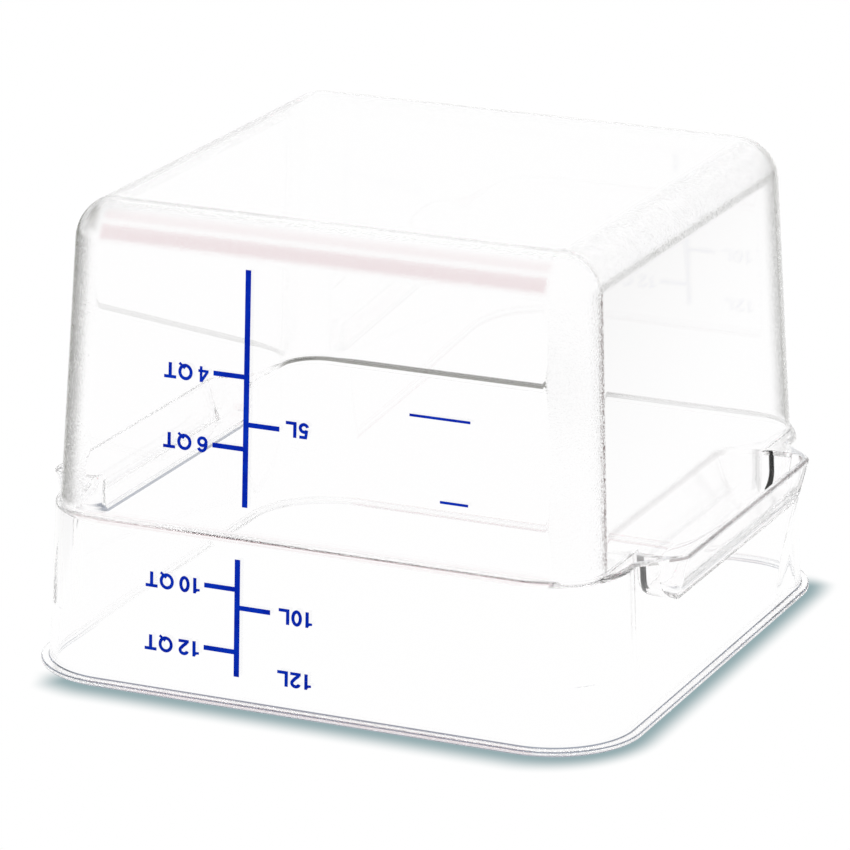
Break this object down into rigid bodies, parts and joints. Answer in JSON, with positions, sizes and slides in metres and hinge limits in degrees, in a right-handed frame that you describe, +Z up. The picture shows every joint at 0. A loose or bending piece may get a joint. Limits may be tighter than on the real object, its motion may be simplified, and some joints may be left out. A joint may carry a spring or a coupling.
{
  "type": "food storage container",
  "caption": "Square clear plastic food storage tub standing upside down on its rim, with a stepped shoulder, moulded finger grips and a printed blue volume scale.",
  "frame": {"origin": "middle of the mouth, on the plane of the rim that the tub stands on", "axes": "+Z up, from the rim to the closed base; +X and -X to the two finger grips; the printed scale faces -Y"},
  "size_m": [0.303, 0.283, 0.212],
  "materials": {
    "clear_plastic": "clear, glossy",
    "blue_ink": "flat print"
  },
  "bodies": {
    "root": {"tub_shell": "clear_plastic", "scale_upper": "blue_ink", "scale_lower": "blue_ink", "writing_rule_upper": "blue_ink", "writing_rule_lower": "blue_ink"}
  },
  "joints": []
}
